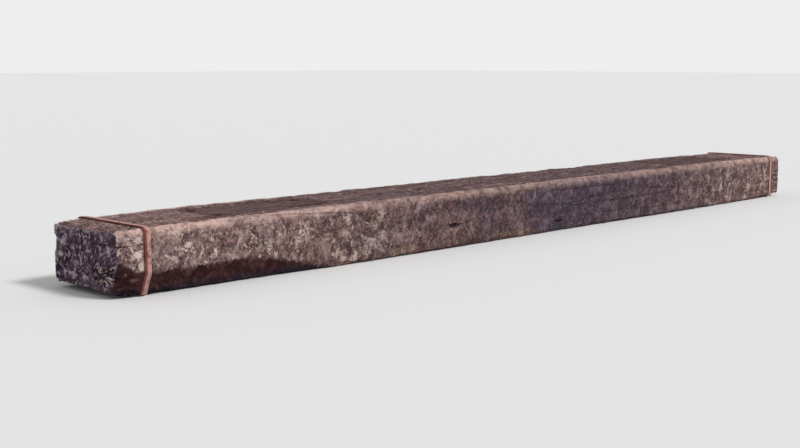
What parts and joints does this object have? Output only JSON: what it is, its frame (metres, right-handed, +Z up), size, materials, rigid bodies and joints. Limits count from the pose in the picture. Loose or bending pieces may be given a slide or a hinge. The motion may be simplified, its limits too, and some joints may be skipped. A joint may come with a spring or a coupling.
{
  "type": "railway sleeper",
  "caption": "Used oak railway sleeper for broad gauge, with rail seats, spike holes and steel hoops that hold its ends against splitting.",
  "frame": {"origin": "on the floor under the middle of the sleeper", "axes": "+X along the sleeper from the pictured end to the other, +Y from the pictured long side to the hidden one, +Z up through the rail seats"},
  "size_m": [2.6, 0.2485, 0.14],
  "materials": {
    "weathered_oak": "matte",
    "rusted_band": "matte"
  },
  "bodies": {
    "root": {"sleeper_timber": "weathered_oak", "anti_split_hoop_left": "rusted_band", "anti_split_hoop_right": "rusted_band", "hoop_clip_left": "rusted_band", "hoop_clip_right": "rusted_band"}
  },
  "joints": []
}
